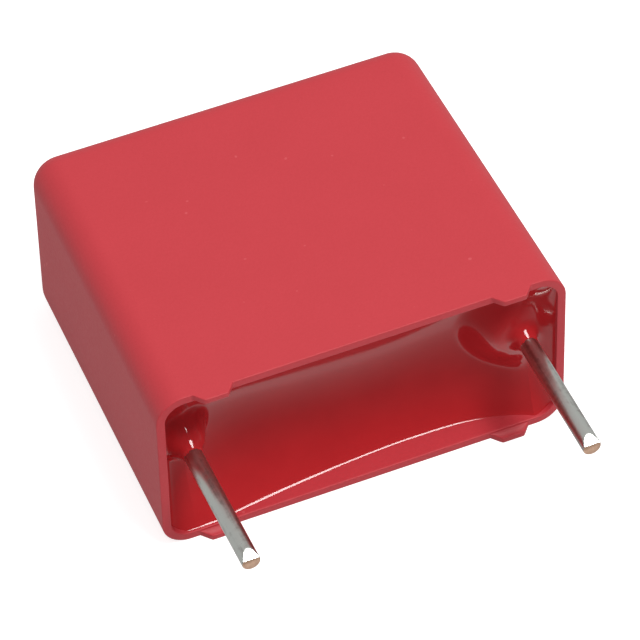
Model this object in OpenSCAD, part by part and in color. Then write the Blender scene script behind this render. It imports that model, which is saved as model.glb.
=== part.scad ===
// Box film capacitor, lying on one of its wide faces.
// X runs along the lead pitch, the leads point to -Y and +Z is up.
// The origin is under the middle of the part, on the surface it lies on.
// Inside the modules y = 0 is the rim of the can and +y goes to its closed end.

/* [Can] */
// Length of the can at its rim, along the lead pitch
can_length = 18.15; // [18:0.05:22]
// Thickness of the can, between its two wide faces
can_thickness = 8.7; // [7.5:0.1:12]
// Height of the can, from its rim to its closed end
can_height = 15.4; // [13:0.1:22]
// How far each narrow side leans in from the rim to the closed end
side_draft = 0.25; // [0:0.05:0.4]
// Wall at the rim
rim_wall = 0.38; // [0.3:0.01:0.6]
// Wall at the closed end, sides and floor alike
end_wall = 0.6; // [0.5:0.05:0.9]
// Radius of the four upright edges, outside
edge_radius = 1.25; // [1.05:0.05:1.8]
// Radius round the closed end, outside
end_radius = 1; // [0.7:0.05:1]

/* [Feet] */
// How far the feet stand out from the rim
foot_height = 0.45; // [0.3:0.05:0.8]
// Length of a foot where it meets the rim
foot_length = 1.75; // [1.4:0.05:2.4]
// Run of the slope at each end of a foot
foot_slope = 0.38; // [0.1:0.02:0.5]
// Thickness of a foot, which is thinner than the rim it stands on
foot_thickness = 0.28; // [0.2:0.02:0.3]
// Distance from a narrow side of the can to the foot next to it
foot_inset = 1.62; // [1.3:0.02:2.5]
// Radius of the corners of a foot
foot_round = 0.14; // [0.05:0.01:0.2]

/* [Leads] */
// Distance from a narrow side of the can, at its rim, to the axis of the lead next to it
lead_inset = 1.575; // [1.4:0.025:3]
// Diameter of a lead
lead_diameter = 0.8; // [0.6:0.05:0.9]
// How far the leads stand out past the feet
lead_length = 5.55; // [3:0.05:30]
// Thickness of the tin that the leads are dipped in, up to the feet
tin_coat = 0.02; // [0.01:0.005:0.04]
// Length of the facet that the cutter leaves on the free end of a lead
nip_length = 0.45; // [0.2:0.05:0.8]
// Depth of that facet at the very end
nip_depth = 0.23; // [0.1:0.01:0.28]
// How far the leads lie above the middle of the thickness
lead_offset = 0.5; // [-1:0.1:1]
// Length of lead that is welded along the end of the winding
weld_length = 5; // [3:0.1:7]
// Depth of the bed of a lead in the sprayed metal
weld_bed = 0.1; // [0.05:0.01:0.2]

/* [Winding] */
// Resin between the pool of the seal and the winding
winding_cover = 0.9; // [0.3:0.1:2]
// Resin between the winding and the floor of the can
winding_gap = 0.5; // [0.3:0.1:1.5]
// Resin between the winding and each wide wall
winding_side_gap = 0.45; // [0.2:0.05:1]
// Thickness of the sprayed metal on each end of the winding
contact_thickness = 0.4; // [0.25:0.05:0.6]
// How far the sprayed metal stays back from the edge of the roll
contact_margin = 0.15; // [0.05:0.05:0.5]

/* [Seal] */
// Depth of the pool of resin below the rim, in the middle of the can
pool_depth = 2.95; // [2.4:0.05:3.4]
// How much shallower the pool is beside the leads
pool_rise = 1.35; // [0.4:0.05:1.6]
// Power of that rise, which starts later the higher it is
rise_power = 3.4; // [2:0.2:6]
// Depth at which the resin meets the wide faces of the can, in the middle
contact_depth = 0.9; // [0.5:0.05:1.2]
// Depth at which it meets the can at both ends
end_depth = 0.15; // [0.05:0.05:0.5]
// Reach of the climb to the lower wide face
lower_reach = 1.95; // [1:0.05:2.4]
// Reach of the climb to the upper wide face, in the middle
upper_reach = 2.05; // [1:0.05:2.4]
// Reach of the climb to the upper wide face, beside the leads
upper_reach_end = 1; // [0.4:0.05:2]
// Reach of the climb to the narrow faces
narrow_reach = 0.6; // [0.3:0.05:1.5]
// Height of the sharp climb right at the walls
sharp_climb = 0.06; // [0.02:0.02:0.2]
// Reach of the sharp climb
sharp_reach = 0.06; // [0.04:0.02:0.3]
// Depth at which the resin meets the leads
collar_depth = 0.1; // [0.05:0.01:0.3]
// Reach of the climb up a lead
lead_reach = 0.42; // [0.3:0.02:0.8]

/* [Hidden] */

$fn = 48;
curve_fn = 32;          // points round the hulled edges
edge_steps = curve_fn / 4;
curve_steps = 6;        // slices through the rounding of the closed end
foot_steps = 5;         // steps round a corner of a foot
slice = 0.01;           // thickness of a hulled slice
mouth = 1;              // how far the cutter of the cavity stands out of the rim
seal_columns = 48;      // cells of the resin surface along X
seal_rows = 22;         // cells of the resin surface along Z

lead_radius = lead_diameter / 2;
core_radius = lead_radius - tin_coat;
lead_x = can_length / 2 - lead_inset;
lead_z = can_thickness / 2 + lead_offset;
lead_tip = -foot_height - lead_length;
floor_y = can_height - end_wall;
winding_low = pool_depth + winding_cover;
winding_high = floor_y - winding_gap;
winding_thickness = can_thickness - 2 * (end_wall + winding_side_gap);
contact_face = lead_x - core_radius + weld_bed;
winding_half = contact_face - contact_thickness;
middle_y = (can_height + lead_tip) / 2;

// Wall of the can at the depth y, and half its length there
function wall(y) = rim_wall + (end_wall - rim_wall) * y / can_height;
function half_length(y) = can_length / 2 - side_draft * y / can_height;

// Inner half length, half thickness and edge radius of the can at the depth y
function inner_x(y) = half_length(y) - wall(y);
function inner_z(y) = can_thickness / 2 - wall(y);
function inner_radius(y) = edge_radius - wall(y);

// Share of a climb left at the distance d from a wall or a lead
function fade(d, reach) = exp(-max(d, 0) / reach);

// From 0 to 1 as the distance from the middle goes from 0 to that of the leads
function lead_share(x) = min(abs(x) / lead_x, 1);
function ease(t) = t * t * (3 - 2 * t);

// Share of the full depth of the pool, which is 0 at any wall
function pool_share(x, z, lower, upper, narrow) =
    let (h = z - can_thickness / 2, from_middle = inner_z(0))
    (1 - fade(from_middle + h, lower)) * (1 - fade(from_middle - h, upper))
      * (1 - fade(inner_x(0) - abs(x), narrow));

// Depth of the resin below the rim, without its climb round the leads
function open_depth(x, z) =
    let (t = lead_share(x),
         contact = contact_depth + (end_depth - contact_depth) * ease(t),
         pool = pool_depth - pool_rise * pow(t, rise_power),
         upper = upper_reach + (upper_reach_end - upper_reach) * ease(t))
    contact
      + (pool - contact - sharp_climb) * pool_share(x, z, lower_reach, upper, narrow_reach)
      + sharp_climb * pool_share(x, z, sharp_reach, sharp_reach, sharp_reach);

// Climb round both leads, which is 1 at a lead
function lead_fade(x, z) =
    fade(norm([abs(x) - lead_x, z - lead_z]) - lead_radius, lead_reach);

// Depth of the resin surface below the rim
function seal_y(x, z) =
    open_depth(x, z) - (open_depth(lead_x, lead_z) - collar_depth) * lead_fade(x, z);

// Steps from -1 to 1 that lie closer together near both ends
function crowded(i, count) = sin(180 * i / count - 90);

// Rounded rectangle in the plane of the rim, centred
module rounded_plate(half_x, half_z, radius) {
    square([2 * half_x, 2 * (half_z - radius)], center = true);
    square([2 * (half_x - radius), 2 * half_z], center = true);
    for (sx = [-1, 1], sz = [-1, 1])
        translate([sx * (half_x - radius), sz * (half_z - radius)])
            circle(radius, $fn = curve_fn);
}

// Thin slice of a can, whose face towards the closed end lies at y
module can_slice(y, half_x, half_z, radius)
    translate([0, y, can_thickness / 2])
        rotate([90, 0, 0])
            linear_extrude(slice)
                rounded_plate(half_x, half_z, radius);

// Outside of the can: the rim and the rounding of the closed end
module can_outside()
    hull() {
        can_slice(slice, half_length(0), can_thickness / 2, edge_radius);
        for (i = [0 : curve_steps]) {
            turn = 90 * i / curve_steps;
            y = can_height - end_radius * (1 - sin(turn));
            inset = end_radius * (1 - cos(turn));
            can_slice(y, half_length(y) - inset, can_thickness / 2 - inset,
                      max(edge_radius - inset, slice));
        }
    }

// Inside of the can, from its mouth to the floor
module can_inside()
    hull()
        for (y = [-mouth, floor_y - slice])
            can_slice(y + slice, inner_x(y + slice), inner_z(y + slice), inner_radius(y + slice));

// Outline of a foot: sloped ends, with its two free corners rounded
module foot_outline() {
    base = foot_length / 2;
    slope_angle = atan2(foot_height, foot_slope);
    corner = [base - foot_slope - foot_round * tan(slope_angle / 2), foot_round - foot_height];
    side = [
        [base, rim_wall],
        [base, 0],
        for (i = [foot_steps : -1 : 0])
            let (turn = slope_angle * i / foot_steps)
            corner + foot_round * [sin(turn), -cos(turn)]
    ];
    polygon(concat(side, [for (i = [len(side) - 1 : -1 : 0]) [-side[i].x, side[i].y]]));
}

// The four feet, flush with the wide faces of the can
module feet()
    for (sx = [-1, 1], side = [0, 1])
        translate([sx * (can_length / 2 - foot_inset - foot_length / 2), 0,
                   side * (can_thickness - foot_thickness)])
            linear_extrude(foot_thickness)
                foot_outline();

// Flattened roll between two planes square to X
module roll(x_from, x_to, grow) {
    r = winding_thickness / 2 + grow;
    translate([x_from, 0, can_thickness / 2])
        rotate([90, 0, 90])
            linear_extrude(x_to - x_from) {
                for (y = [winding_low - grow + r, winding_high + grow - r])
                    translate([y, 0])
                        circle(r);
                translate([winding_low - grow + r, -r])
                    square([winding_high - winding_low + 2 * grow - 2 * r, 2 * r]);
            }
}

// Sprayed metal on the end of the winding at +X, with the bed of its lead
module contact_layer()
    difference() {
        roll(winding_half, contact_face, -contact_margin);
        lead();
    }

// Lead at +X: tinned from its nipped end to the feet, and bare from there to the end of its weld
module lead()
    translate([lead_x, lead_tip, lead_z])
        difference() {
            rotate([-90, 0, 0]) {
                cylinder(r = lead_radius, h = lead_length);
                cylinder(r = core_radius, h = winding_low + weld_length - lead_tip);
            }
            translate([0, 0, lead_radius - nip_depth])
                rotate([atan2(nip_depth, nip_length), 0, 0])
                    translate([-lead_radius, -lead_radius, 0])
                        cube([lead_diameter, lead_radius + 2 * nip_length, lead_diameter]);
        }

// Half length and half thickness of the resin in the column i of its surface, at the depth y.
// The outer columns follow the points of the rounded inner edges of the can.
function from_end(i) = min(i, seal_columns - i);
function edge_turn(i) = 90 * (1 - min(from_end(i), edge_steps) / edge_steps);
function column_x(i, y) =
    let (r = inner_radius(y), straight = inner_x(y) - r, s = i < seal_columns / 2 ? -1 : 1)
    from_end(i) <= edge_steps
        ? s * (straight + r * sin(edge_turn(i)))
        : straight * crowded(i - edge_steps, seal_columns - 2 * edge_steps);
function column_half_z(i, y) = inner_z(y) - inner_radius(y) * (1 - cos(edge_turn(i)));

// Point of the resin in the column i and row k, at the depth y
function resin_point(i, k, y) =
    [column_x(i, y), y, can_thickness / 2 + column_half_z(i, y) * crowded(k, seal_rows)];

// Point of the resin surface in the column i and row k
function seal_point(i, k) =
    let (flat = resin_point(i, k, 0))
    resin_point(i, k, seal_y(flat.x, flat.z));

// Columns and rows that run once round the edge of the resin
function edge_cells() = concat(
    [for (i = [0 : seal_columns - 1]) [i, 0]],
    [for (k = [0 : seal_rows - 1]) [seal_columns, k]],
    [for (i = [seal_columns : -1 : 1]) [i, seal_rows]],
    [for (k = [seal_rows : -1 : 1]) [0, k]]);

// All that lies in the can: its face is the meniscus, its sides touch the can, its back the floor
module can_filling() {
    cells = edge_cells();
    count = len(cells);
    stride = seal_rows + 1;
    face = [for (i = [0 : seal_columns], k = [0 : seal_rows]) seal_point(i, k)];
    back = [for (c = cells) resin_point(c[0], c[1], floor_y)];
    first_back = len(face);
    centre = first_back + count;
    polyhedron(
        points = concat(face, back, [[0, floor_y, can_thickness / 2]]),
        faces = concat(
            [for (i = [0 : seal_columns - 1], k = [0 : seal_rows - 1])
                let (p = i * stride + k)
                each [[p, p + 1, p + stride + 1], [p, p + stride + 1, p + stride]]],
            [for (n = [0 : count - 1])
                let (m = (n + 1) % count,
                     p = cells[n][0] * stride + cells[n][1],
                     q = cells[m][0] * stride + cells[m][1])
                each [[p, q, first_back + m], [p, first_back + m, first_back + n],
                      [first_back + n, first_back + m, centre]]]
        )
    );
}

// Moulded can with its feet
module case()
    color("#d54d56")
        difference() {
            union() {
                can_outside();
                feet();
            }
            can_inside();
        }

// Cast resin that fills the can round the winding and seals its mouth
module potting_resin()
    color("#9a2629")
        difference() {
            can_filling();
            roll(-winding_half, winding_half, 0);
            for (s = [0, 1]) mirror([s, 0, 0]) {
                roll(winding_half, contact_face, -contact_margin);
                lead();
            }
        }

// Metallised film, wound and pressed flat
module film_winding()
    color("#c9c4b8")
        roll(-winding_half, winding_half, 0);

module contact_layer_left()
    color("#8f9294") mirror([1, 0, 0]) contact_layer();

module contact_layer_right()
    color("#8f9294") contact_layer();

module lead_left()
    color("#b4b9b5") mirror([1, 0, 0]) lead();

module lead_right()
    color("#b4b9b5") lead();

translate([0, -middle_y, 0]) {
    case();
    potting_resin();
    film_winding();
    contact_layer_left();
    contact_layer_right();
    lead_left();
    lead_right();
}
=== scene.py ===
"""Looks of a box film capacitor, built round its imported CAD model."""

import math

import bmesh
import bpy
from mathutils import Euler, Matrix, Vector


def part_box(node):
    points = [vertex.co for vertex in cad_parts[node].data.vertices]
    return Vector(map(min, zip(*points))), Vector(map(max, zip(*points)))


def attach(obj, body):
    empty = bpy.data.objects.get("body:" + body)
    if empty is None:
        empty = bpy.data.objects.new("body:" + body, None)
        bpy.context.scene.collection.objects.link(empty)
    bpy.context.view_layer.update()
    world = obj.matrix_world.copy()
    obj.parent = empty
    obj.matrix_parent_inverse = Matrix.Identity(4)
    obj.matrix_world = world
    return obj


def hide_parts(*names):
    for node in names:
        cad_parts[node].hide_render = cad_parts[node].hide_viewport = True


bl_info = {
    "name": "Box Film Capacitor",
    "version": (1, 0, 0),
    "blender": (4, 5, 0),
    "location": "3D Viewport > Sidebar > Capacitor",
    "description": "Builds the moulded can, resin seal and leads of a box film capacitor",
    "category": "Object",
}

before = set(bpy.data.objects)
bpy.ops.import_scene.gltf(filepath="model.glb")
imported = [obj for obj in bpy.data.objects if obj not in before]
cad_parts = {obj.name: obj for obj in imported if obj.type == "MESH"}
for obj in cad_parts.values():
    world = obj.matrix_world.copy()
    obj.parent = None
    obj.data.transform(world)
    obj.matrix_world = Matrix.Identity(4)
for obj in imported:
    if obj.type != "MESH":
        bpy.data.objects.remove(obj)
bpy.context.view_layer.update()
CASE_LOW, CASE_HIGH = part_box("case")
LEAD_LOW, LEAD_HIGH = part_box("lead_right")

MM = 0.001
PER_MM = 1000
FOOT_HEIGHT = 0.45 * MM
RIM_Y = CASE_LOW.y + FOOT_HEIGHT


# ---------------------------------------------------------------- settings


def length(name, description, default, low=0.0, high=0.1):
    """A size in metres that a user can change."""
    return bpy.props.FloatProperty(
        name=name, description=description, default=default, min=low, max=high,
        unit="LENGTH", precision=6,
    )


def share(name, description, default):
    """A number from 0 to 1 that a user can change."""
    return bpy.props.FloatProperty(
        name=name, description=description, default=default, min=0.0, max=1.0,
        subtype="FACTOR",
    )


def number(name, description, default):
    """A plain number that a user can change."""
    return bpy.props.FloatProperty(
        name=name, description=description, default=default, min=0.1, max=20.0,
    )


def colour(name, description, default):
    """A colour that a user can change."""
    return bpy.props.FloatVectorProperty(
        name=name, description=description, default=default, size=3, min=0.0, max=1.0,
        subtype="COLOR",
    )


class CanSettings(bpy.types.PropertyGroup):
    """Sizes and colours of the moulded can."""

    half_length: length("Half length", "Half the length at the rim", CASE_HIGH.x)
    half_thickness: length(
        "Half thickness", "Half the distance between the wide faces", CASE_HIGH.z / 2
    )
    height: length("Height", "From the rim to the closed end", CASE_HIGH.y - RIM_Y)
    draft: length("Draft", "Lean of each narrow side", 0.25 * MM)
    rim_wall: length("Rim wall", "Wall at the rim", 0.38 * MM)
    end_wall: length("End wall", "Wall at the closed end", 0.6 * MM)
    edge_radius: length("Edge radius", "Radius of the upright edges", 1.25 * MM)
    end_radius: length("End radius", "Radius round the closed end", 1.0 * MM)
    bevel: length("Bevel", "Rounding of the edges of the rim", 0.035 * MM)
    foot_height: length("Foot height", "How far a foot stands out", FOOT_HEIGHT)
    foot_length: length("Foot length", "Length of a foot at the rim", 1.75 * MM)
    foot_slope: length("Foot slope", "Run of the slope of a foot", 0.38 * MM)
    foot_wall: length("Foot wall", "Thickness of a foot", 0.28 * MM)
    foot_inset: length("Foot inset", "From a narrow side to its foot", 1.62 * MM)
    foot_round: length("Foot round", "Radius of the corners of a foot", 0.14 * MM)
    red: colour("Red", "Colour of the moulded plastic", (0.60, 0.040, 0.055))
    deep_red: colour("Deep red", "Colour of its darker grain", (0.52, 0.030, 0.040))
    pale_red: colour("Pale red", "Colour of scuffed edges", (0.78, 0.16, 0.17))
    gloss: share("Roughness", "Roughness of the moulded faces", 0.52)


class SealSettings(bpy.types.PropertyGroup):
    """Shape and colour of the cast resin."""

    pool: length("Pool", "Depth of the resin below the rim", 2.95 * MM)
    rise_left: length("Rise at left", "How much shallower the pool is there", 1.3 * MM)
    rise_right: length("Rise at right", "How much shallower the pool is there", 0.9 * MM)
    rise_power: number("Power of the rise", "How late the rise starts", 3.4)
    contact: length("Contact", "Depth at the upper wall, in the middle", 0.93 * MM)
    end_contact: length("End contact", "Depth at the walls at both ends", 0.12 * MM)
    low_contact: length("Low contact", "Greatest depth at the lower wall", 1.03 * MM)
    low_middle: length("Low middle", "Where that depth is, right of the middle", 2.2 * MM)
    left_drop: length("Drop at left", "How much the contact rises to the left", 0.53 * MM)
    left_run: length("Run at left", "Length of that rise", 6.2 * MM)
    left_power: number("Power at left", "How late that rise starts", 1.5)
    right_drop: length("Drop at right", "How much the contact rises to the right", 0.36 * MM)
    right_run: length("Run at right", "Length of that rise", 4.3 * MM)
    right_power: number("Power at right", "How late that rise starts", 3.5)
    lower_reach: length("Lower reach", "Reach of the climb to the lower wall", 1.95 * MM)
    upper_reach: length("Upper reach", "Reach of the climb to the upper wall", 2.05 * MM)
    upper_end: length("Upper reach at the ends", "The same beside the leads", 1.0 * MM)
    left_reach: length("Left reach", "Reach of the climb to the left wall", 0.2 * MM)
    right_reach: length("Right reach", "Reach of the climb to the right wall", 1.2 * MM)
    sharp_climb: length("Sharp climb", "Climb right at the walls", 0.06 * MM)
    sharp_reach: length("Sharp reach", "Reach of the sharp climb", 0.06 * MM)
    collar: length("Collar", "Depth at which the resin meets a lead", 0.1 * MM)
    collar_reach: length("Collar reach", "Reach of the climb up a lead", 0.16 * MM)
    left_foot: length("Left mound", "Radius of the mound round the left lead", 1.35 * MM)
    left_top: length("Left mound top", "Radius of its level top", 0.6 * MM)
    left_depth: length("Left mound depth", "Depth of its level top", 0.75 * MM)
    right_foot: length("Right mound", "Radius of the mound round the right lead", 2.5 * MM)
    right_top: length("Right mound top", "Radius of its level top", 0.95 * MM)
    right_depth: length("Right mound depth", "Depth of its level top", 0.8 * MM)
    red: colour("Resin red", "Colour of the resin", (0.50, 0.021, 0.025))
    deep_red: colour("Deep red", "Colour of the resin where it is thick", (0.42, 0.017, 0.021))
    gloss: share("Roughness", "Roughness of the resin", 0.07)


class LeadSettings(bpy.types.PropertyGroup):
    """Shape and colours of the leads."""

    radius: length("Radius", "Radius of a lead", (LEAD_HIGH.x - LEAD_LOW.x) / 2)
    pitch: length("Pitch", "Distance between the leads", LEAD_HIGH.x + LEAD_LOW.x)
    nip_length: length("Nip length", "Length of the facet at a cut end", 0.45 * MM)
    nip_depth: length("Nip depth", "Depth of the facet at a cut end", 0.23 * MM)
    tin: colour("Tin", "Colour of the tinned wire", (0.68, 0.70, 0.66))
    dull_tin: colour("Dull tin", "Colour of its dull streaks", (0.36, 0.33, 0.31))
    copper: colour("Copper", "Colour of the cut core", (0.85, 0.55, 0.38))
    gloss: share("Roughness", "Roughness of the wire", 0.32)


class StageSettings(bpy.types.PropertyGroup):
    """Floor, lights and camera."""

    floor: share("Floor white", "How white the floor is", 0.68)
    key: bpy.props.FloatProperty(
        name="Key light", description="Power of the overhead light", default=1.1, min=0.0,
        unit="POWER",
    )
    sky: share("Sky", "Brightness of the surroundings", 0.52)
    lens: bpy.props.FloatProperty(
        name="Lens", description="Focal length of the camera", default=278.995, min=10.0,
        unit="CAMERA",
    )


# ---------------------------------------------------------------- materials


class Value:
    """Output of a shader node, on which arithmetic adds Math nodes."""

    def __init__(self, paint, socket):
        self.paint = paint
        self.socket = socket

    def _math(self, operation, *values):
        return self.paint.node("ShaderNodeMath", {"operation": operation}, values)

    def __add__(self, other):
        return self._math("ADD", self, other)

    def __sub__(self, other):
        return self._math("SUBTRACT", self, other)

    def __rsub__(self, other):
        return self._math("SUBTRACT", other, self)

    def __mul__(self, other):
        return self._math("MULTIPLY", self, other)

    __radd__ = __add__
    __rmul__ = __mul__


class Paint:
    """Builds one material, or one world, from nodes."""

    def __init__(self, name, kind="materials"):
        self.owner = getattr(bpy.data, kind).new(name)
        self.owner.use_nodes = True
        self.tree = self.owner.node_tree
        self.tree.nodes.clear()
        self.place = self.node("ShaderNodeTexCoord", output="Object")

    def node(self, kind, settings=None, inputs=(), output=0):
        """Adds a node, sets it up, and gives its output."""
        made = self.tree.nodes.new(kind)
        for name, value in (settings or {}).items():
            if name == "stops":
                self._set_stops(made.color_ramp, value)
            else:
                setattr(made, name, value)
        pairs = inputs.items() if isinstance(inputs, dict) else enumerate(inputs)
        for key, value in pairs:
            if isinstance(value, Value):
                self.tree.links.new(value.socket, made.inputs[key])
            else:
                made.inputs[key].default_value = value
        return Value(self, made.outputs[output]) if made.outputs else None

    @staticmethod
    def _set_stops(ramp, stops):
        while len(ramp.elements) < len(stops):
            ramp.elements.new(1.0)
        for element, (position, grey) in zip(ramp.elements, stops):
            element.position = position
            element.color = (grey, grey, grey, 1.0)

    def scaled(self, factors):
        """Places on the piece, in metres, multiplied axis by axis."""
        return self.node(
            "ShaderNodeVectorMath", {"operation": "MULTIPLY"}, (self.place, factors)
        )

    def grain(self, scale, detail=2.0, roughness=0.5, stretch=(1, 1, 1)):
        """Soft noise from 0 to 1 with about the given cells per millimetre."""
        where = self.scaled(tuple(PER_MM * s for s in stretch))
        return self.node(
            "ShaderNodeTexNoise", None,
            {"Vector": where, "Scale": scale, "Detail": detail, "Roughness": roughness},
        )

    def step(self, value, low, high):
        """Smooth step from 0 at low to 1 at high."""
        return self.node(
            "ShaderNodeMapRange", {"interpolation_type": "SMOOTHSTEP"},
            {"Value": value, "From Min": low, "From Max": high},
        )

    def mix(self, factor, first, second):
        """Colour between first and second."""
        made = self.node(
            "ShaderNodeMix", {"data_type": "RGBA"}, {"Factor": factor}, output=2
        )
        for key, value in ((6, first), (7, second)):
            socket = made.socket.node.inputs[key]
            if isinstance(value, Value):
                self.tree.links.new(value.socket, socket)
            else:
                socket.default_value = (*value, 1.0)
        return made

    def bump(self, height, distance, strength=1.0):
        """Normal from a height."""
        return self.node(
            "ShaderNodeBump", None,
            {"Height": height, "Distance": distance, "Strength": strength},
        )

    def finish(self, **inputs):
        """Ends the material in one Principled shader."""
        named = {key.replace("_", " "): value for key, value in inputs.items()}
        shader = self.node("ShaderNodeBsdfPrincipled", None, named)
        self.node("ShaderNodeOutputMaterial", None, (shader,))
        return self.owner


def moulded_plastic(can):
    """Spark-eroded moulded plastic with darker grain and scattered pale specks."""
    paint = Paint("moulded_plastic")
    grain = paint.grain(9.0, detail=3.0, roughness=0.6)
    cloud = paint.grain(0.35, detail=3.0)
    speck = paint.step(paint.grain(3.2, detail=0.0), 0.84, 0.88)
    base = paint.mix(grain * 0.6 + cloud * 0.4, tuple(can.deep_red), tuple(can.red))
    base = paint.mix(speck * 0.3, base, tuple(can.pale_red))
    bump = paint.bump(grain, 0.02 * MM, 0.5)
    return paint.finish(
        Base_Color=base,
        Roughness=paint.grain(6.0) * 0.12 + (can.gloss - 0.06),
        Normal=bump,
    )


def cast_resin(seal):
    """Glossy cast resin."""
    paint = Paint("cast_resin")
    cloud = paint.grain(0.6, detail=3.0)
    base = paint.mix(cloud, tuple(seal.deep_red), tuple(seal.red))
    ripple = paint.bump(paint.grain(1.5, detail=2.0), 0.01 * MM, 0.25)
    return paint.finish(
        Base_Color=base,
        Roughness=paint.grain(2.0) * 0.04 + seal.gloss,
        Normal=ripple,
    )


def tinned_wire(lead):
    """Drawn tinned wire with streaks along it."""
    paint = Paint("tinned_wire")
    streak = paint.grain(5.0, detail=3.0, stretch=(1, 0.05, 1))
    mottle = paint.grain(4.0, detail=3.0)
    dull = paint.step(streak * 0.7 + mottle * 0.3, 0.45, 0.7)
    base = paint.mix(dull, tuple(lead.tin), tuple(lead.dull_tin))
    return paint.finish(
        Base_Color=base,
        Metallic=1.0,
        Roughness=mottle * 0.2 + (lead.gloss - 0.1),
        Normal=paint.bump(streak, 0.01 * MM, 0.6),
    )


def cut_copper(lead):
    """Copper core where the wire is cut."""
    paint = Paint("cut_copper")
    shear = paint.grain(8.0, detail=3.0, stretch=(1, 1, 0.3))
    base = paint.mix(shear, tuple(lead.copper), tuple(c * 0.75 for c in lead.copper))
    return paint.finish(
        Base_Color=base, Metallic=0.6, Roughness=shear * 0.2 + 0.4,
        Normal=paint.bump(shear, 0.02 * MM, 0.6),
    )


def wound_film():
    """Edges of wound metallised film."""
    paint = Paint("wound_film")
    turns = paint.grain(12.0, detail=2.0, stretch=(0.05, 0.3, 1))
    base = paint.mix(turns, (0.50, 0.48, 0.43), (0.66, 0.64, 0.58))
    return paint.finish(
        Base_Color=base, Roughness=turns * 0.2 + 0.25,
        Normal=paint.bump(turns, 0.02 * MM, 0.5),
    )


def sprayed_metal():
    """Rough sprayed metal."""
    paint = Paint("sprayed_metal")
    grit = paint.grain(7.0, detail=4.0, roughness=0.7)
    base = paint.mix(grit, (0.30, 0.31, 0.32), (0.55, 0.56, 0.57))
    return paint.finish(
        Base_Color=base, Metallic=0.9, Roughness=grit * 0.3 + 0.4,
        Normal=paint.bump(grit, 0.05 * MM, 0.8),
    )


# ---------------------------------------------------------------- mesh tools


def smooth_object(name, shape, materials):
    """Turns a bmesh into a smooth object in the scene."""
    bmesh.ops.recalc_face_normals(shape, faces=shape.faces)
    for face in shape.faces:
        face.smooth = True
    mesh = bpy.data.meshes.new(name)
    shape.to_mesh(mesh)
    shape.free()
    piece = bpy.data.objects.new(name, mesh)
    bpy.context.scene.collection.objects.link(piece)
    for material in materials:
        mesh.materials.append(material)
    return piece


def keep_flats_flat(piece):
    """Lets wide faces decide the shading at their edges."""
    modifier = piece.modifiers.new("Flat faces", "WEIGHTED_NORMAL")
    modifier.weight = 100
    modifier.mode = "FACE_AREA"


def join_rings(shape, rings):
    """Quads between rings of the same number of vertices."""
    for low, high in zip(rings, rings[1:]):
        count = len(low)
        for i in range(count):
            j = (i + 1) % count
            corners = [low[i], low[j], high[j], high[i]]
            corners = [v for n, v in enumerate(corners) if v not in corners[:n]]
            if len(corners) > 2:
                shape.faces.new(corners)


def add_ring(shape, points):
    return [shape.verts.new(p) for p in points]


# ---------------------------------------------------------------- can

CORNER_STEPS = 12
END_STEPS = 10
SIDE_STEP = 0.13 * MM
BEVEL_TURNS = (0, 30, 60, 90)
LEAST_RADIUS = 0.01 * MM
# Flat strips beside an edge, which keep its shading apart from that of the face
FLOOR_RING = 0.5 * MM
FLOOR_EDGE = 0.05 * MM
END_RING = 0.1 * MM
# Strip of the rim behind a foot, and height over which the bevel of a foot dies away
FOOT_GAP = 0.02 * MM
FOOT_BLEND = 0.1 * MM
# Points closer together than this are one
WELD = 0.0005 * MM
# Depths of the rings of the can below its rim, in millimetres
INNER_DEPTHS = (3, 1.5, 0.7, 0.3, 0.12)
OUTER_DEPTHS = (0.2, 0.6, 2, 5, 8, 11, 13.5)


def foot_profile(can, x):
    """How far the rim stands out at x, which is the outline of the feet."""
    half = can.foot_length / 2
    middle = can.half_length - can.foot_inset - half
    d = abs(abs(x) - middle)
    angle = math.atan2(can.foot_height, can.foot_slope)
    corner = half - can.foot_slope - can.foot_round * math.tan(angle / 2)
    if d >= half:
        return 0.0
    if d <= corner:
        return can.foot_height
    if d <= corner + can.foot_round * math.sin(angle):
        drop = can.foot_round - math.sqrt(can.foot_round**2 - (d - corner) ** 2)
        return can.foot_height - drop
    return (half - d) * can.foot_height / can.foot_slope


def stations(can):
    """Stations once round the can: shares of the straight runs, and turns on the edges."""
    straight_x = can.half_length - can.edge_radius
    straight_z = can.half_thickness - can.edge_radius
    half = can.foot_length / 2
    middle = can.half_length - can.foot_inset - half
    count = round(2 * straight_x / SIDE_STEP)
    along_x = {round(-1 + 2 * i / count, 6) for i in range(1, count)}
    for side in (-1, 1):
        for d in (-half, -half + can.foot_slope, half - can.foot_slope, half):
            along_x.add(round((side * middle + d) / straight_x, 6))
    along_x = sorted(along_x)
    count = round(2 * straight_z / SIDE_STEP)
    along_z = [-1 + 2 * i / count for i in range(1, count)]
    corners = []
    for quarter in range(4):
        sx = 1 if quarter in (0, 3) else -1
        sz = 1 if quarter in (0, 1) else -1
        turn = [math.pi / 2 * (quarter + i / CORNER_STEPS) for i in range(CORNER_STEPS + 1)]
        corners.append([(sx, sz, math.cos(a), math.sin(a)) for a in turn])
    return (
        corners[0]
        + [(x, 1, 0.0, 1.0) for x in reversed(along_x)]
        + corners[1]
        + [(-1, z, -1.0, 0.0) for z in reversed(along_z)]
        + corners[2]
        + [(x, -1, 0.0, -1.0) for x in along_x]
        + corners[3]
        + [(1, z, 1.0, 0.0) for z in along_z]
    )


def can_ring(can, places, half_x, half_z, radius, depth):
    """Points of one ring of the can. Depth is a number, or a function of the place in the ring."""
    points = []
    for share_x, share_z, turn_x, turn_z in places:
        x = share_x * (half_x - radius) + turn_x * radius
        z = share_z * (half_z - radius) + turn_z * radius
        y = depth(x, share_x, turn_z) if callable(depth) else depth
        points.append(Vector((x, RIM_Y + y, can.half_thickness + z)))
    return points


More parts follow.
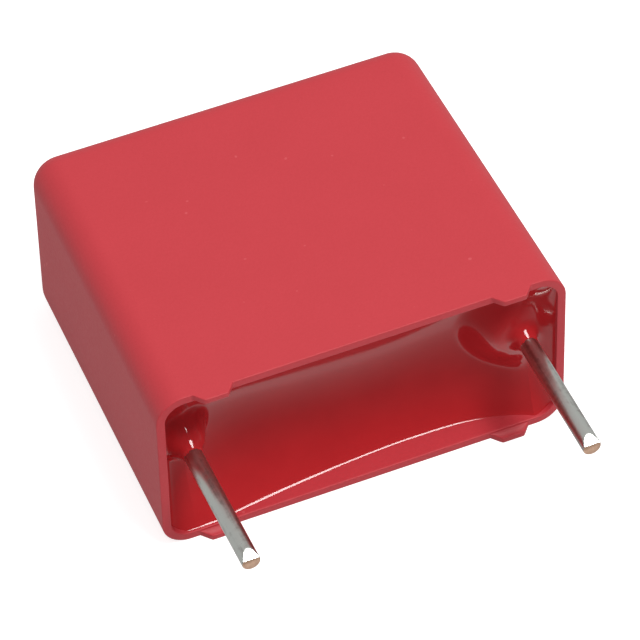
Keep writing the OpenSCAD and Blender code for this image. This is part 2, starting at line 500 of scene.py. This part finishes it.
def can_mesh(can):
    """Outer faces, rim with feet, and inner faces of the can as one closed mesh."""
    shape = bmesh.new()
    places = stations(can)
    rings = []

    def wall(y):
        return can.rim_wall + (can.end_wall - can.rim_wall) * y / can.height

    def outer(y, inset=0.0, depth=None):
        half_x = can.half_length - can.draft * y / can.height - inset
        radius = max(can.edge_radius - inset, LEAST_RADIUS)
        rings.append(can_ring(can, places, half_x, can.half_thickness - inset, radius,
                              y if depth is None else depth))

    def rim(inset, lift, place):
        """Ring on the rim: lift is how far it stays below the free face."""
        def depth(x, share_x, turn_z):
            foot = foot_profile(can, x) if abs(turn_z) == 1.0 and abs(share_x) < 1 else 0.0
            if place == "inner edge of foot":
                return lift * min(1.0, foot / FOOT_BLEND) - foot
            if place == "foot":
                return lift - foot
            return lift
        outer(0.0, inset, depth)

    floor_y = can.height - can.end_wall
    inner_ys = [floor_y, floor_y * 0.6, floor_y * 0.3] + [y * MM for y in INNER_DEPTHS]
    bottom = wall(floor_y)
    outer(floor_y, bottom + FLOOR_RING)
    outer(floor_y, bottom + FLOOR_EDGE)
    for y in inner_ys:
        outer(y, wall(y))
    bevel = can.bevel
    for turn in BEVEL_TURNS:
        a = math.radians(turn)
        rim(can.rim_wall - bevel * (1 - math.cos(a)), bevel * (1 - math.sin(a)), "rim")
    rim(can.foot_wall + FOOT_GAP, 0.0, "rim")
    rim(can.foot_wall, 0.0, "rim")
    for turn in BEVEL_TURNS:
        a = math.radians(turn)
        inset = can.foot_wall - bevel * (1 - math.cos(a))
        rim(inset, bevel * (1 - math.sin(a)), "inner edge of foot")
    rim(can.foot_wall / 2, 0.0, "foot")
    for turn in reversed(BEVEL_TURNS):
        a = math.radians(turn)
        rim(bevel * (1 - math.cos(a)), bevel * (1 - math.sin(a)), "foot")
    rim(0.0, 2 * bevel, "foot")
    straight = can.height - can.end_radius
    for y in OUTER_DEPTHS:
        outer(y * MM)
    outer(straight)
    for i in range(1, END_STEPS + 1):
        a = math.pi / 2 * i / END_STEPS
        outer(straight + can.end_radius * math.sin(a), can.end_radius * (1 - math.cos(a)))
    outer(can.height, can.end_radius + END_RING)
    made = [add_ring(shape, points) for points in rings]
    join_rings(shape, made)
    shape.faces.new(made[0])
    shape.faces.new(made[-1])
    bmesh.ops.remove_doubles(shape, verts=shape.verts, dist=WELD)
    bmesh.ops.dissolve_degenerate(shape, edges=shape.edges, dist=WELD)
    return shape


class BuildCan(bpy.types.Operator):
    """Builds the moulded can with its four feet."""

    bl_idname = "capacitor.build_can"
    bl_label = "Moulded can"

    def execute(self, context):
        can = context.scene.capacitor_can
        piece = smooth_object("moulded_can", can_mesh(can), [moulded_plastic(can)])
        keep_flats_flat(piece)
        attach(piece, "root")
        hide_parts("case")
        return {"FINISHED"}


# ---------------------------------------------------------------- resin

SEAL_COLUMNS = 180
SEAL_ROWS = 120
SEAL_CORNER = 12


def fade(distance, reach):
    return math.exp(-max(distance, 0.0) / reach)


def smooth_step(value, low, high):
    t = min(max((value - low) / (high - low), 0.0), 1.0)
    return t * t * (3 - 2 * t)


def pool_share(can, x, h, lower, upper, left, right):
    """Share of the full depth of the pool, 0 at any wall. The reaches are those of the climbs."""
    a = can.half_length - can.rim_wall
    b = can.half_thickness - can.rim_wall
    share = 1.0
    for d, reach in ((b + h, lower), (b - h, upper), (a + x, left), (a - x, right)):
        share *= 1.0 - fade(d, reach)
    return share


def low_contact(seal, x):
    """Depth of the resin at the lower wall, which falls off sooner to the left."""
    off = x - seal.low_middle
    if off < 0:
        drop = seal.left_drop * (-off / seal.left_run) ** seal.left_power
    else:
        drop = seal.right_drop * (off / seal.right_run) ** seal.right_power
    return max(seal.low_contact - drop, seal.end_contact)


def seal_depth(can, seal, lead, x, h):
    """Depth of the resin below the rim at x and at h above the middle of the thickness."""
    lead_x = lead.pitch / 2
    lead_h = (LEAD_LOW.z + LEAD_HIGH.z) / 2 - can.half_thickness
    half_room = can.half_thickness - can.rim_wall
    t = min(abs(x) / lead_x, 1.0)
    eased = smooth_step(t, 0.0, 1.0)
    rise = seal.rise_left if x < 0 else seal.rise_right
    pool = seal.pool - rise * t**seal.rise_power
    contact = seal.contact + (seal.end_contact - seal.contact) * eased
    contact += (low_contact(seal, x) - contact) * smooth_step(-h / half_room, -0.6, 1.0)
    upper = seal.upper_reach + (seal.upper_end - seal.upper_reach) * eased
    wide = pool_share(can, x, h, seal.lower_reach, upper, seal.left_reach, seal.right_reach)
    depth = contact + (pool - contact - seal.sharp_climb) * wide
    depth += seal.sharp_climb * pool_share(can, x, h, *(seal.sharp_reach,) * 4)
    mounds = (
        (-1, seal.left_foot, seal.left_top, seal.left_depth),
        (1, seal.right_foot, seal.right_top, seal.right_depth),
    )
    for side, foot, top, level in mounds:
        d = math.hypot(x - side * lead_x, h - lead_h)
        depth += (min(level, depth) - depth) * smooth_step(-d, -foot, -top)
        depth += (seal.collar - depth) * fade(d - lead.radius, seal.collar_reach)
    return depth


def crowded(i, count):
    """Steps from -1 to 1 that lie closer together near both ends."""
    return -math.cos(math.pi * i / count)


def seal_mesh(can, seal, lead):
    """Resin: its concave face, its sides against the can and its back on the floor."""
    shape = bmesh.new()
    columns = SEAL_COLUMNS + 2 * SEAL_CORNER

    def at(i, k, y):
        wall = can.rim_wall + (can.end_wall - can.rim_wall) * y / can.height
        half_x = can.half_length - can.draft * y / can.height - wall
        half_z = can.half_thickness - wall
        r = can.edge_radius - wall
        from_end = min(i, columns - i)
        side = -1 if i < columns / 2 else 1
        if from_end <= SEAL_CORNER:
            a = math.pi / 2 * (1 - from_end / SEAL_CORNER)
            x = side * (half_x - r + r * math.sin(a))
            z_room = half_z - r * (1 - math.cos(a))
        else:
            x = (half_x - r) * crowded(i - SEAL_CORNER, SEAL_COLUMNS)
            z_room = half_z
        return x, z_room * crowded(k, SEAL_ROWS)

    def face_point(i, k):
        x, h = at(i, k, 0.0)
        y = seal_depth(can, seal, lead, x, h)
        x, h = at(i, k, y)
        return Vector((x, RIM_Y + y, can.half_thickness + h))

    grid = [[shape.verts.new(face_point(i, k)) for k in range(SEAL_ROWS + 1)]
            for i in range(columns + 1)]
    for i in range(columns):
        for k in range(SEAL_ROWS):
            shape.faces.new((grid[i][k], grid[i][k + 1], grid[i + 1][k + 1], grid[i + 1][k]))
    edge = [(i, 0) for i in range(columns)]
    edge += [(columns, k) for k in range(SEAL_ROWS)]
    edge += [(i, SEAL_ROWS) for i in range(columns, 0, -1)]
    edge += [(0, k) for k in range(SEAL_ROWS, 0, -1)]
    floor_y = can.height - can.end_wall
    back = []
    for i, k in edge:
        x, h = at(i, k, floor_y)
        back.append(shape.verts.new((x, RIM_Y + floor_y, can.half_thickness + h)))
    join_rings(shape, [[grid[i][k] for i, k in edge], back])
    shape.faces.new(back)
    return shape


class BuildSeal(bpy.types.Operator):
    """Builds the cast resin that seals the can."""

    bl_idname = "capacitor.build_seal"
    bl_label = "Resin seal"

    def execute(self, context):
        scene = context.scene
        can, seal, lead = scene.capacitor_can, scene.capacitor_seal, scene.capacitor_lead
        piece = smooth_object("resin_seal", seal_mesh(can, seal, lead), [cast_resin(seal)])
        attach(piece, "root")
        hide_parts("potting_resin")
        return {"FINISHED"}


# ---------------------------------------------------------------- leads

LEAD_SIDES = 64
SHAFT_RINGS = 24
BURR_LENGTH = 0.02 * MM
BURR_DEPTH = 0.012 * MM
# Distances of the first rings from the cut end, in millimetres
TIP_RINGS = (
    0.0, 0.01, 0.03, 0.06, 0.1, 0.15, 0.2, 0.25, 0.3, 0.35, 0.4, 0.45, 0.5, 0.6, 0.8, 1.2,
)


def lead_mesh(lead, side):
    """One straight wire whose cut end has a facet pressed by the cutter."""
    shape = bmesh.new()
    tip, end = LEAD_LOW.y, LEAD_HIGH.y
    middle = (LEAD_LOW.z + LEAD_HIGH.z) / 2
    ys = [tip + y * MM for y in TIP_RINGS]
    run = end - ys[-1]
    ys += [ys[-1] + run * i / SHAFT_RINGS for i in range(1, SHAFT_RINGS + 1)]
    rings = []
    for y in ys:
        out = lead.radius
        if y - tip < BURR_LENGTH:
            out -= BURR_DEPTH * (1 - (y - tip) / BURR_LENGTH)
        top = middle + lead.radius
        if y - tip < lead.nip_length:
            top -= lead.nip_depth * (1 - (y - tip) / lead.nip_length)
        points = []
        for i in range(LEAD_SIDES):
            a = 2 * math.pi * i / LEAD_SIDES
            x = side * lead.pitch / 2 + out * math.cos(a)
            points.append(Vector((x, y, min(middle + out * math.sin(a), top))))
        rings.append(add_ring(shape, points))
    join_rings(shape, rings)
    cut = shape.faces.new(rings[0])
    cut.material_index = 1
    shape.faces.new(rings[-1])
    return shape


class BuildLeads(bpy.types.Operator):
    """Builds the two tinned leads."""

    bl_idname = "capacitor.build_leads"
    bl_label = "Leads"

    def execute(self, context):
        lead = context.scene.capacitor_lead
        finishes = [tinned_wire(lead), cut_copper(lead)]
        for name, side in (("left", -1), ("right", 1)):
            piece = smooth_object("wire_" + name, lead_mesh(lead, side), finishes)
            keep_flats_flat(piece)
            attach(piece, "root")
            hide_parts("lead_" + name)
        return {"FINISHED"}


class FinishWinding(bpy.types.Operator):
    """Gives the hidden winding and its sprayed ends their materials."""

    bl_idname = "capacitor.finish_winding"
    bl_label = "Winding"

    def execute(self, context):
        metal = sprayed_metal()
        finishes = {
            "film_winding": wound_film(),
            "contact_layer_left": metal,
            "contact_layer_right": metal,
        }
        for node, material in finishes.items():
            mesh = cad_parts[node].data
            mesh.materials.clear()
            mesh.materials.append(material)
        return {"FINISHED"}


# ---------------------------------------------------------------- stage


FLOOR_HALF = 0.6
KEY_PLACE = (0.10, -0.12, 0.38)
KEY_SIDE = 0.14
CAMERA_PLACE = (-0.051883, -0.130044, 0.156717)
CAMERA_TURN = (42.731135, 1.126378, -22.977002)


def area_light(name, place, side, power):
    """A soft square light aimed at the part."""
    data = bpy.data.lights.new(name, "AREA")
    data.shape = "RECTANGLE"
    data.size = data.size_y = side
    data.energy = power
    lamp = bpy.data.objects.new(name, data)
    lamp.location = place
    lamp.rotation_euler = (-Vector(place)).to_track_quat("-Z", "Y").to_euler()
    lamp.visible_camera = False
    bpy.context.scene.collection.objects.link(lamp)
    return lamp


def pale_floor(stage):
    """White floor that keeps the shadow of the object, and isn't there for reflections."""
    paint = Paint("pale_floor")
    mottle = paint.grain(0.05)
    white = paint.mix(mottle, (stage.floor,) * 3, (stage.floor * 0.99,) * 3)
    lit = paint.node("ShaderNodeBsdfDiffuse", None, {"Color": white})
    camera = paint.node("ShaderNodeLightPath", output="Is Camera Ray")
    glow = paint.node(
        "ShaderNodeEmission", None,
        {"Color": (1, 1, 1, 1), "Strength": camera * FLOOR_GLOW},
    )
    both = paint.node("ShaderNodeAddShader", None, (lit, glow))
    clear = paint.node("ShaderNodeBsdfTransparent")
    glossy = paint.node("ShaderNodeLightPath", output="Is Glossy Ray")
    seen = paint.node("ShaderNodeMixShader", None, {0: glossy, 1: both, 2: clear})
    paint.node("ShaderNodeOutputMaterial", None, (seen,))
    return paint.owner


# Light that the floor adds to itself where the camera sees it, so that it is white
FLOOR_GLOW = 0.75

# Height of a reflected ray, as the sine of its elevation, and the brightness it meets
FRONT_LIGHT = (
    (-1.00, 1.0), (-0.80, 1.0), (-0.75, 0.70), (-0.64, 0.46), (-0.50, 0.26),
    (-0.34, 0.13), (-0.20, 0.09), (0.00, 0.06), (0.20, 0.02),
)


def surroundings(stage):
    """White to the camera, even where it lights the object, and dim in front where mirrored."""
    paint = Paint("surroundings", "worlds")
    height = paint.node("ShaderNodeSeparateXYZ", None, (paint.place,), "Z")
    back = paint.node("ShaderNodeSeparateXYZ", None, (paint.place,), "Y")
    stops = [((z + 1) / 2, light) for z, light in FRONT_LIGHT]
    front = paint.node("ShaderNodeValToRGB", {"stops": stops}, (height * 0.5 + 0.5,))
    behind = paint.step(back, -0.3, 0.3)
    camera = paint.node("ShaderNodeLightPath", output="Is Camera Ray")
    glossy = paint.node("ShaderNodeLightPath", output="Is Glossy Ray")
    mirrored = paint.mix(behind, front, (stage.sky,) * 3)
    colour = paint.mix(glossy, (stage.sky,) * 3, mirrored)
    colour = paint.mix(camera, colour, (1, 1, 1))
    light = paint.node("ShaderNodeBackground", None, (colour,))
    paint.node("ShaderNodeOutputWorld", None, (light,))
    return paint.owner


class BuildStage(bpy.types.Operator):
    """Lays the floor, and sets the lights, surroundings and camera."""

    bl_idname = "capacitor.build_stage"
    bl_label = "Floor, lights and camera"

    def execute(self, context):
        scene = context.scene
        stage = scene.capacitor_stage
        shape = bmesh.new()
        bmesh.ops.create_grid(shape, x_segments=8, y_segments=8, size=FLOOR_HALF)
        floor = smooth_object("floor", shape, [pale_floor(stage)])

        area_light("key", KEY_PLACE, KEY_SIDE, stage.key)

        scene.world = surroundings(stage)

        data = bpy.data.cameras.new("camera")
        data.lens = stage.lens
        data.sensor_width = 36.0
        data.clip_start, data.clip_end = 0.01, 10.0
        camera = bpy.data.objects.new("camera", data)
        camera.location = CAMERA_PLACE
        camera.rotation_euler = Euler([math.radians(a) for a in CAMERA_TURN], "XYZ")
        scene.collection.objects.link(camera)
        scene.camera = camera
        scene.view_settings.view_transform = "Standard"
        return {"FINISHED"}


class CapacitorPanel(bpy.types.Panel):
    """Lists the steps that build the capacitor."""

    bl_idname = "VIEW3D_PT_capacitor"
    bl_label = "Box Film Capacitor"
    bl_space_type = "VIEW_3D"
    bl_region_type = "UI"
    bl_category = "Capacitor"

    def draw(self, context):
        for operator in OPERATORS:
            self.layout.operator(operator.bl_idname)
        for group in SETTINGS:
            box = self.layout.box()
            for key in SETTINGS[group].__annotations__:
                box.prop(getattr(context.scene, group), key)


SETTINGS = {
    "capacitor_can": CanSettings,
    "capacitor_seal": SealSettings,
    "capacitor_lead": LeadSettings,
    "capacitor_stage": StageSettings,
}
OPERATORS = (BuildCan, BuildSeal, BuildLeads, FinishWinding, BuildStage)


def register():
    for kind in (*SETTINGS.values(), *OPERATORS, CapacitorPanel):
        bpy.utils.register_class(kind)
    for name, kind in SETTINGS.items():
        setattr(bpy.types.Scene, name, bpy.props.PointerProperty(type=kind))


def unregister():
    for name in SETTINGS:
        delattr(bpy.types.Scene, name)
    for kind in (CapacitorPanel, *reversed(OPERATORS), *reversed(SETTINGS.values())):
        bpy.utils.unregister_class(kind)


def main():
    """Builds everything in order."""
    register()
    bpy.ops.capacitor.build_can()
    bpy.ops.capacitor.build_seal()
    bpy.ops.capacitor.build_leads()
    bpy.ops.capacitor.finish_winding()
    bpy.ops.capacitor.build_stage()


if __name__ == "__main__":
    main()
